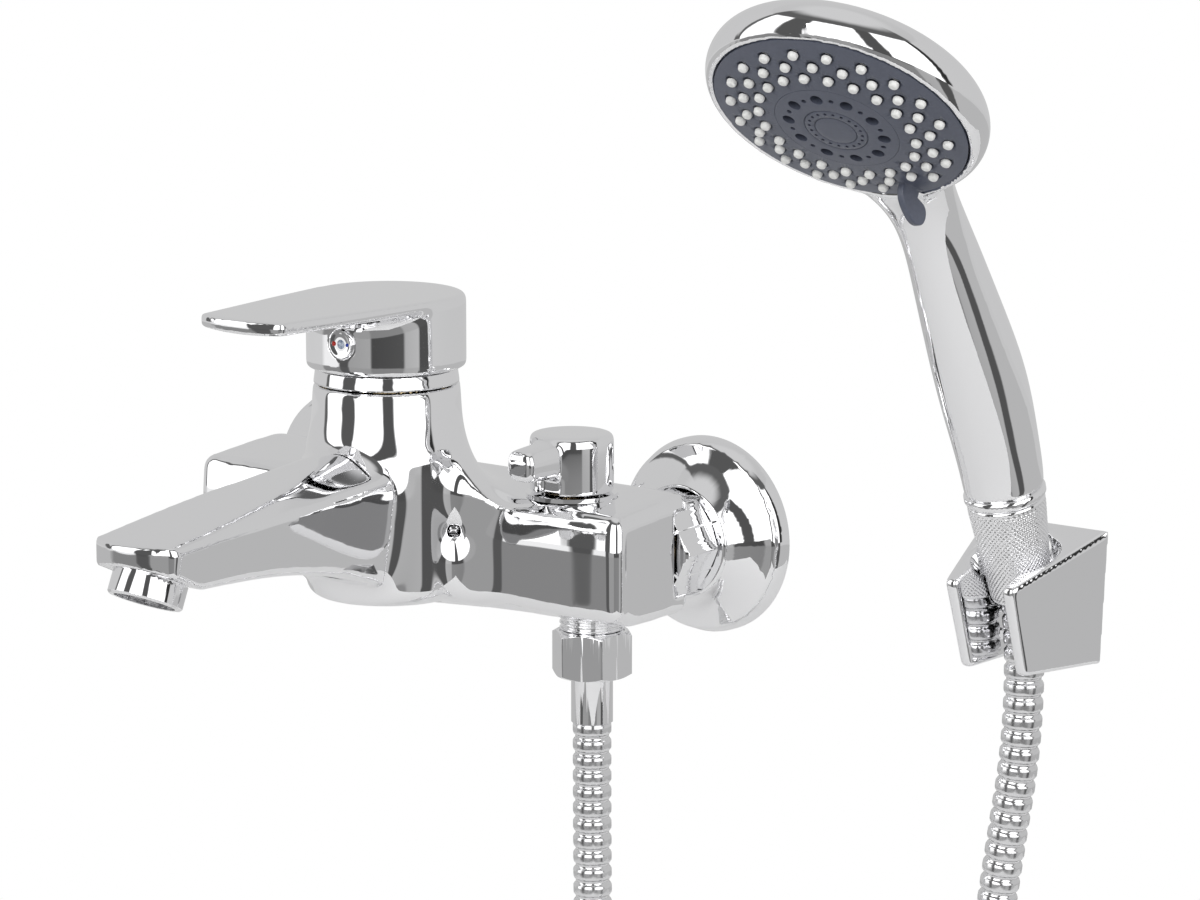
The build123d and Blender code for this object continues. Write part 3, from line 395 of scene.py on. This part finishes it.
def plain(name, colour, rough, grain, metal=0.0):
    # Moulded, sawn or cast stuff with small changes of shade and gloss.
    material = bpy.data.materials.new(name)
    material.use_nodes = True
    tree = material.node_tree
    body = tree.nodes["Principled BSDF"]
    body.inputs["Metallic"].default_value = metal
    where = tree.nodes.new("ShaderNodeTexCoord")
    cloud = tree.nodes.new("ShaderNodeTexNoise")
    cloud.inputs["Scale"].default_value = grain
    cloud.inputs["Detail"].default_value = 4.0
    tree.links.new(where.outputs["Object"], cloud.inputs["Vector"])
    shade = tree.nodes.new("ShaderNodeValToRGB")
    shade.color_ramp.elements[0].position = 0.3
    shade.color_ramp.elements[0].color = (*[0.92 * part for part in colour], 1)
    shade.color_ramp.elements[1].position = 0.7
    shade.color_ramp.elements[1].color = (*[min(1.06 * part, 1.0) for part in colour], 1)
    tree.links.new(cloud.outputs["Fac"], shade.inputs[0])
    tree.links.new(shade.outputs[0], body.inputs["Base Color"])
    gloss = tree.nodes.new("ShaderNodeMapRange")
    gloss.inputs["To Min"].default_value = rough * 0.85
    gloss.inputs["To Max"].default_value = rough * 1.15
    tree.links.new(cloud.outputs["Fac"], gloss.inputs["Value"])
    tree.links.new(gloss.outputs[0], body.inputs["Roughness"])
    ripple = tree.nodes.new("ShaderNodeBump")
    ripple.inputs["Strength"].default_value = 0.15
    ripple.inputs["Distance"].default_value = 0.0001
    tree.links.new(cloud.outputs["Fac"], ripple.inputs["Height"])
    tree.links.new(ripple.outputs[0], body.inputs["Normal"])
    return material


chrome = plated("bright chrome plate", (0.90, 0.90, 0.91), 0.03, 0.0, 60)
brass = plain("machined brass", (0.72, 0.56, 0.31), 0.32, 400, metal=1.0)
rubber = plain("black sealing rubber", (0.03, 0.03, 0.03), 0.7, 700)
for side_name in ("left", "right"):
    finished(side_name + "_wall_flange", chrome)
    finished(side_name + "_inlet_nut", chrome)
    finished(side_name + "_wall_union", chrome)
    painted(side_name + "_inlet_tail", brass)
    painted(side_name + "_inlet_washer", rubber)


# Mixer body
# One brass casting, ground, polished and chrome plated: bar, barrel, tower and flat spout
# flow into each other with soft hollows, and every edge is rounded by the polishing.
FINE = 0.6
WEAR_STEP = 0.5
EVEN_ROUNDS = 10
FILL_STEP = 0.6
EVEN_FILL_STEP = 0.15
ROUNDS_PER_NORMAL = 8
LAST_ROUNDS = 6
LAST_WEAR = 0.3
BODY_GRAIN = 0.0009
HOLLOW_ROUNDS = 170
TOWER = Vector((0, -0.0725, 0))
STREAM_Y, STREAM_Z = -0.183, 0.0059
KNOB_X, KNOB_Y, KNOB_BORE_TOP = 0.057, -0.049, 0.031
INLET_X = 0.075
RIDGE_LEVEL = 0.0048
RIDGE_SOFT = 0.0008


def cast_skin(node, material, grain, soften, rounds, hollow=None, fill_rounds=0, shape=None):
    # An even skin over the solid. A fine skin is worn round at its edges where soften allows
    # it, a coarser one is laid over that, and its inside corners are filled up into hollows
    # where hollow asks for them.
    piece = finished(node, material, sharp=0)
    mesh = piece.data

    def lay(size):
        skin = piece.modifiers.new("even skin", "REMESH")
        skin.mode = "VOXEL"
        skin.voxel_size = size
        bpy.ops.object.modifier_apply(modifier=skin.name)
        count = len(mesh.vertices)
        where = np.empty(count * 3)
        mesh.vertices.foreach_get("co", where)
        edges = np.empty(len(mesh.edges) * 2, dtype=np.int32)
        mesh.edges.foreach_get("vertices", edges)
        one, other = edges.reshape(-1, 2).T
        linked = (np.bincount(one, minlength=count) + np.bincount(other, minlength=count))[:, None]
        return where.reshape(-1, 3), one, other, linked

    def pull():
        count = len(place)
        sums = [np.bincount(one, place[other, k], count) + np.bincount(other, place[one, k], count)
                for k in range(3)]
        return np.stack(sums, axis=1) / linked - place

    def outward():
        facing = np.empty(len(place) * 3)
        mesh.vertices.foreach_set("co", place.ravel())
        mesh.update()
        mesh.vertices.foreach_get("normal", facing)
        return facing.reshape(-1, 3)

    place, one, other, linked = lay(grain * FINE)
    wear = soften(place)[:, None]
    for round_number in range(round(rounds / FINE ** 2)):
        place = place + WEAR_STEP * wear * pull()
    outward()
    place, one, other, linked = lay(grain)
    wear = soften(place)[:, None]
    for round_number in range(EVEN_ROUNDS):
        place = place + WEAR_STEP * wear * pull()
    if hollow:
        filling = hollow(place)[:, None]
        for round_number in range(fill_rounds):
            if round_number % ROUNDS_PER_NORMAL == 0:
                normal = outward()
            step = pull()
            height = (step * normal).sum(axis=1)[:, None]
            place = place + filling * (FILL_STEP * np.maximum(height, 0) * normal
                                       + EVEN_FILL_STEP * (step - height * normal))
        for round_number in range(LAST_ROUNDS):
            place = place + WEAR_STEP * np.maximum(filling, LAST_WEAR * wear) * pull()
    if shape:
        place = place + shape(place)[:, None] * outward()
    outward()
    for face in mesh.polygons:
        face.use_smooth = True
    return piece


def ramp(values, low, high):
    # From 0 at low to 1 at high, eased at both ends.
    share = np.clip((values - low) / (high - low), 0, 1)
    return share * share * (3 - 2 * share)


def body_soften(place):
    # Everything outside the seats of the ring, nuts, knob, thread and stream straightener.
    x, y, z = place[:, 0], place[:, 1], place[:, 2] - LIFT
    from_inlet = np.hypot(np.abs(x) - INLET_X, z) - 0.5 * np.maximum(-0.034 - y, 0)
    from_knob = np.hypot(x - KNOB_X, y - KNOB_Y)
    from_outlet = np.hypot(x - OUTLET_X, y - OUTLET_Y)
    from_stream = np.sqrt(x ** 2 + (y - STREAM_Y) ** 2 + (z - STREAM_Z) ** 2)
    worn = ramp(z, 0.0515, 0.0485) * ramp(from_inlet, 0.0175, 0.0205)
    worn = worn * np.where(z > 0.012, ramp(from_knob, 0.0150, 0.0165), 1)
    worn = worn * np.where(z < -0.012, ramp(from_outlet, 0.0095, 0.0115), 1)
    worn = worn * ramp(from_stream, 0.0118, 0.0140)
    return 0.06 + 0.94 * worn


def body_hollow(place):
    # The inside corners of bar, barrel, tower and spout, away from every bore.
    x, y, z = np.abs(place[:, 0]), place[:, 1], place[:, 2] - LIFT
    from_tower = np.hypot(x, y - TOWER.y)
    beside_barrel = (ramp(x, 0.014, 0.020) * ramp(x, 0.066, 0.054)
                     * ramp(y, -0.0640, -0.0665) * ramp(y, -0.100, -0.094))
    over_bar = (ramp(z, 0.0140, 0.0170) * ramp(from_tower, 0.0225, 0.0260)
                * ramp(from_tower, 0.072, 0.062) * ramp(y, -0.026, -0.032) * ramp(z, 0.050, 0.044))
    off_middle = np.maximum(ramp(x, 0.009, 0.014), ramp(z, 0.000, -0.004) + ramp(z, 0.020, 0.026))
    beside_spout = ramp(y, -0.082, -0.088) * ramp(y, -0.130, -0.116) * off_middle
    clear_of_knob = ramp(np.hypot(place[:, 0] - KNOB_X, y - KNOB_Y), 0.0165, 0.0195)
    return np.clip(beside_barrel + over_bar + beside_spout, 0, 1) * clear_of_knob


def arm_facets(place):
    # The front of each arm is ground flat along it, in two facets that meet in a soft ridge
    # above the middle.
    x, y, z = np.abs(place[:, 0]), place[:, 1], place[:, 2] - LIFT
    front = ramp(y, -0.0600, -0.0635) * ramp(y, -0.0780, -0.0720) * ramp(x, 0.030, 0.046)
    over = z - RIDGE_LEVEL
    bend = RIDGE_SOFT * np.log1p(np.exp(np.clip(over / RIDGE_SOFT, -40, 40)))
    cast_front = np.interp(x, [0.034, 0.050, 0.070, 0.088], [0.0700, 0.0676, 0.0659, 0.0648])
    ground_front = 0.0663 + 0.021 * (0.088 - x)
    return front * (ground_front - cast_front + 0.0002 + 0.012 * over - 0.075 * bend)


cast_skin("mixer_body", chrome, BODY_GRAIN, body_soften, 8, body_hollow, HOLLOW_ROUNDS, arm_facets)


# Cartridge
# A moulded housing with two ceramic discs, seals, a turning guide and a steel lever,
# clamped in the tower by a brass ring nut under the plated dome ring.
housing_plastic = plain("grey cartridge plastic", (0.70, 0.70, 0.68), 0.45, 500)
steel = plain("turned steel", (0.60, 0.60, 0.60), 0.3, 800, metal=1.0)
ceramic = plain("ground ceramic", (0.90, 0.89, 0.86), 0.25, 900)
for node in ("cartridge_housing", "cartridge_lever_guide", "cartridge_disc_carrier"):
    painted(node, housing_plastic)
for node in ("cartridge_lever", "cartridge_lever_pin", "handle_grub_screw"):
    painted(node, steel)
for node in ("cartridge_fixed_disc", "cartridge_moving_disc"):
    painted(node, ceramic)
painted("cartridge_seals", rubber)
painted("cartridge_nut", brass)
finished("tower_dome_ring", chrome)


# Handle
# A cast and plated cap with a flat lever, held to the cartridge by a small screw
# behind the round index button. The lever runs into the cap under its root.
HANDLE_GRAIN = 0.00043
INDEX = Vector((0.003, -0.0725 - 0.024, 0.0672 + LIFT))
INDEX_RADIUS = 0.0045
INDEX_DEEP = 0.0018
MARK_FLAT = 0.55


def handle_soften(place):
    # Everything but the lower rim of the cap and the seat of the index button.
    x, y, z = place[:, 0], place[:, 1], place[:, 2] - LIFT
    from_index = np.hypot(x - INDEX.x, z + LIFT - INDEX.z) + np.maximum(y + 0.085, 0) * 3
    worn = ramp(z, 0.0572, 0.0600) * ramp(from_index, 0.0047, 0.0062)
    return 0.05 + 0.95 * worn


def handle_hollow(place):
    # The inside corner where the lever leaves the cap.
    x, y, z = place[:, 0], place[:, 1], place[:, 2] - LIFT
    from_tower = np.hypot(x, y - TOWER.y)
    off_index = ramp(np.hypot(x - INDEX.x, z + LIFT - INDEX.z), 0.0055, 0.0075)
    round_cap = ramp(from_tower, 0.0245, 0.0260) * ramp(from_tower, 0.036, 0.031)
    return round_cap * off_index * ramp(z, 0.064, 0.068)


def join(parts):
    # The first part takes in the others, and is smooth but for its sharp edges.
    bpy.ops.object.select_all(action="DESELECT")
    for part in parts:
        part.select_set(True)
    bpy.context.view_layer.objects.active = parts[0]
    bpy.ops.object.join()
    bpy.ops.object.shade_smooth_by_angle(angle=math.radians(40))


cast_skin("handle", chrome, HANDLE_GRAIN, handle_soften, 9, handle_hollow, 80)

# The index plug: a bright dished plug with a clear jewel in its middle and a red dot
# on its left and a blue one on its right. The jewel's colour is painted reflection.
jewel_clear = bpy.data.materials.new("clear jewel")
jewel_clear.use_nodes = True
tree = jewel_clear.node_tree
glass = tree.nodes["Principled BSDF"]
glass.inputs["Roughness"].default_value = 0.05
glass.inputs["Coat Weight"].default_value = 1.0
where = tree.nodes.new("ShaderNodeTexCoord")
# Painted reflections: cells run from dark blue in their middles to pale blue-white at their edges, in
# place of the light and dark that the clear jewel's facets would show.
cells = tree.nodes.new("ShaderNodeTexVoronoi")
cells.inputs["Scale"].default_value = 900
tree.links.new(where.outputs["Object"], cells.inputs["Vector"])
painted_facet_reflections = tree.nodes.new("ShaderNodeValToRGB")
painted_facet_reflections.color_ramp.elements[0].color = (0.10, 0.16, 0.30, 1)
painted_facet_reflections.color_ramp.elements[1].color = (0.80, 0.88, 0.98, 1)
tree.links.new(cells.outputs["Distance"], painted_facet_reflections.inputs[0])
tree.links.new(painted_facet_reflections.outputs[0], glass.inputs["Base Color"])
facing_out = Matrix.Rotation(math.pi / 2, 4, "X")
flatten = Matrix.Scale(MARK_FLAT, 4, Vector((0, 0, 1)))
red = plain("red mark", (0.55, 0.02, 0.01), 0.35, 900)
blue = plain("blue mark", (0.02, 0.06, 0.45), 0.35, 900)
bpy.ops.object.select_all(action="DESELECT")
bpy.ops.mesh.primitive_cylinder_add(vertices=64, radius=INDEX_RADIUS, depth=INDEX_DEEP)
plug = bpy.context.object
plug.data.transform(Matrix.Translation(INDEX + Vector((0, -INDEX_DEEP / 2, 0))) @ facing_out)
bpy.ops.object.mode_set(mode="EDIT")
shape = bmesh.from_edit_mesh(plug.data)
shape.faces.ensure_lookup_table()
for face in shape.faces:
    face.select = len(face.verts) > 4 and face.normal.y < -0.9
bmesh.update_edit_mesh(plug.data)
bpy.ops.mesh.inset(thickness=0.0007, depth=0.0)
bpy.ops.mesh.inset(thickness=0.0004, depth=-0.0002)
bpy.ops.mesh.inset(thickness=0.0012, depth=0.0)
bpy.ops.object.mode_set(mode="OBJECT")
plug.data.materials.append(chrome)
index_parts = [plug]
for across, out, size, material in ((0.0002, 0.0012, 0.0017, jewel_clear),
                                    (-0.0027, 0.0016, 0.0008, red), (0.0028, 0.0016, 0.0006, blue)):
    bpy.ops.object.select_all(action="DESELECT")
    bpy.ops.mesh.primitive_uv_sphere_add(segments=32, ring_count=16, radius=size)
    mark = bpy.context.object
    mark.data.transform(Matrix.Translation(INDEX + Vector((across, -out, 0))) @ facing_out @ flatten)
    mark.data.materials.append(material)
    index_parts.append(mark)
join(index_parts)
plug.name = "handle_index_plug"
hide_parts("handle_index_button")
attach(plug, "lever")


# Diverter
# A cast and plated knob with a rounded grip is pressed on the brass spindle, which turns
# in the headwork screwed into the arm, over a plated base ring.
KNOB_GRAIN = 0.00045


def knob_soften(place):
    # Everything but the bore of the spindle and the lower rim.
    x, y, z = place[:, 0] - KNOB_X, place[:, 1] - KNOB_Y, place[:, 2] - LIFT
    from_bore = np.hypot(x, y) + np.maximum(KNOB_BORE_TOP - z, 0)
    return 0.08 + 0.92 * ramp(from_bore, 0.0050, 0.0065) * ramp(z, 0.0198, 0.0215)


cast_skin("diverter_knob", chrome, KNOB_GRAIN, knob_soften, 16)
finished("diverter_base_ring", chrome)
for node in ("diverter_headwork", "diverter_spindle"):
    painted(node, brass)
painted("diverter_seal", rubber)


# Spout outlet
# A turned and plated ring is screwed into the slanted face under the tip, and holds a
# moulded stream straightener against a rubber washer.
white_plastic = plain("white moulded plastic", (0.80, 0.80, 0.79), 0.4, 600)
finished("aerator_housing", chrome)
finished("aerator_insert", plain("grey straightener plastic", (0.16, 0.16, 0.17), 0.4, 600))
painted("aerator_washer", rubber)


# Shower outlet
# A plated half-inch thread under the right arm. The hose nut pulls the hose's crimped
# ferrule against it over a rubber washer, and the same ferrule is at the other end.
for node in ("shower_outlet", "hose_nut", "lower_hose_ferrule", "upper_hose_ferrule"):
    finished(node, chrome)
for node in ("lower_hose_washer", "upper_hose_washer"):
    painted(node, rubber)
painted("hose_tie", white_plastic)


# Wall bracket
# A moulded and plated block with a leaning cone socket and a slot for the hose, held to
# the wall by two screws behind the socket.
BRACKET_GRAIN = 0.0005


def bracket_soften(place):
    # Everything but the edge on the wall.
    return 0.1 + 0.9 * ramp(place[:, 1], -0.0004, -0.0020)


cast_skin("shower_bracket", chrome, BRACKET_GRAIN, bracket_soften, 14)


# Cone nut
# The plated cone that joins the hose to the hand shower, with diamond knurling rolled
# into its outside for grip.
KNURL_DEEP = 0.00028
KNURL_ROUND = 46
KNURL_STEP = 0.0016
CONE_GRAIN = 0.00026


def evenly_soft(place):
    return np.full(len(place), 0.5)


def knurling(place):
    # Two sets of grooves wind round the cone, one to the left and one to the right.
    from_foot = place - np.array(CONE_FOOT + Vector((0, 0, LIFT)))
    along = from_foot @ np.array(CONE_WAY)
    across = from_foot[:, 0]
    through = from_foot @ np.array(CONE_WAY.cross(Vector((1, 0, 0))))
    angle = np.arctan2(through, across)
    from_axis = np.hypot(across, through)
    left = np.abs(np.sin(0.5 * (KNURL_ROUND * angle + 2 * math.pi * along / KNURL_STEP)))
    right = np.abs(np.sin(0.5 * (KNURL_ROUND * angle - 2 * math.pi * along / KNURL_STEP)))
    groove = 1 - np.minimum(ramp(left, 0.0, 0.9), ramp(right, 0.0, 0.9))
    outside = ramp(from_axis, 0.0088, 0.0090) * ramp(along, 0.0010, 0.0022) * ramp(along, 0.0322, 0.0312)
    return -KNURL_DEEP * groove * outside


cast_skin("hose_cone_nut", chrome, CONE_GRAIN, evenly_soft, 3, shape=knurling)


# Hand shower
# A plated shell with the water tube, distributor and threaded inlet inside. Its neck
# runs into the round head with soft hollows.
SHELL_GRAIN = 0.00073
NECK = Vector((0.2098, -0.0885, 0.143))
HEAD = Vector((0.21217, -0.12159, 0.15642 + LIFT))
HEAD_BACKWARD = Vector((-0.1031, 0.6474, 0.7552))


def shell_soften(place):
    # The seat on the cone nut stays crisp.
    along = (place - np.array(CONE_FOOT + Vector((0, 0, LIFT)))) @ np.array(CONE_WAY)
    return 0.15 + 0.85 * ramp(along, 0.0375, 0.0385)


def neck_hollow(place):
    # The inside corners round the neck.
    away = np.linalg.norm(place - np.array(NECK), axis=1)
    return ramp(away, 0.048, 0.032)


cast_skin("handset_shell", chrome, SHELL_GRAIN, shell_soften, 14, neck_hollow, 140)
finished("handset_inlet", chrome)
painted("handset_tube", white_plastic)
painted("handset_distributor", white_plastic)


# Spray plate
# A moulded blue-grey plate with its selector fin, and a centre disc with the finer holes.
# A white silicone mat behind the plate carries the nozzles.
slate = plain("slate grey plastic", (0.085, 0.095, 0.13), 0.36, 900)
finished("spray_face", slate)
finished("spray_centre", slate)

# The mat, and the nozzles that stand up through the plate in three rings. Their places are
# counted round the face in half steps, from near the handle.
FACE_RADIUS = 0.0376
DOME = 0.0044
BALL = (FACE_RADIUS ** 2 + DOME ** 2) / (2 * DOME)
MAT_RADIUS = 0.036
MAT_BAND = 0.016
MAT_THICK = 0.0009
MAT_BACK = 0.00145
NOZZLE_TIP_R = 0.00132
NOZZLE_R = 0.0016
NOZZLE_LONG = 0.0018
NOZZLE_ROUND = 0.00055
NOZZLE_RISE = 0.0005
NOZZLE_FIRST = math.radians(161.0)
HALF_STEP = math.radians(9.0)
HANDSET_TURN = math.radians(7.0)
across = Matrix.Rotation(HANDSET_TURN, 3, CONE_WAY) @ Vector((1, 0, 0))
head_axes = Matrix((across, HEAD_BACKWARD.cross(across), HEAD_BACKWARD)).transposed()
head_frame = Matrix.Translation(HEAD) @ head_axes.to_4x4()
silicone = plain("white silicone", (0.86, 0.86, 0.84), 0.45, 900)
bpy.ops.object.select_all(action="DESELECT")
bpy.ops.mesh.primitive_circle_add(vertices=72, radius=MAT_RADIUS, fill_type="NGON")
mat = bpy.context.object
bpy.ops.object.mode_set(mode="EDIT")
bpy.ops.mesh.select_all(action="SELECT")
bpy.ops.mesh.inset(thickness=MAT_BAND)
bpy.ops.mesh.delete(type="FACE")
bpy.ops.object.mode_set(mode="OBJECT")
thick = mat.modifiers.new("mat thickness", "SOLIDIFY")
thick.thickness = MAT_THICK
thick.offset = 0
bpy.ops.object.modifier_apply(modifier=thick.name)
mat.data.transform(head_frame @ Matrix.Translation((0, 0, MAT_BACK)))
mat.data.materials.append(silicone)
mat_parts = [mat]
bpy.ops.object.select_all(action="DESELECT")
bpy.ops.mesh.primitive_cone_add(vertices=20, radius1=NOZZLE_TIP_R, radius2=NOZZLE_R,
                                depth=NOZZLE_LONG, end_fill_type="NGON")
nozzle = bpy.context.object
rounded = nozzle.modifiers.new("rounded tip", "BEVEL")
rounded.width = NOZZLE_ROUND
rounded.segments = 4
rounded.limit_method = "ANGLE"
bpy.ops.object.modifier_apply(modifier=rounded.name)
for from_axis, first, last in ((0.0323, 2, 40), (0.0280, 1, 40), (0.0234, 2, 41)):
    for place in range(first, last, 2):
        angle = NOZZLE_FIRST + place * HALF_STEP
        level = -(math.sqrt(BALL ** 2 - from_axis ** 2) - (BALL - DOME)) - NOZZLE_RISE
        copy = bpy.data.objects.new("nozzle", nozzle.data.copy())
        bpy.context.scene.collection.objects.link(copy)
        stand = Vector((from_axis * math.sin(angle), -from_axis * math.cos(angle), level))
        copy.data.transform(head_frame @ Matrix.Translation(stand))
        copy.data.materials.append(silicone)
        mat_parts.append(copy)
bpy.data.objects.remove(nozzle)
join(mat_parts)
mat.name = "spray_nozzle_mat"
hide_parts("spray_nozzles")
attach(mat, "spray_plate")
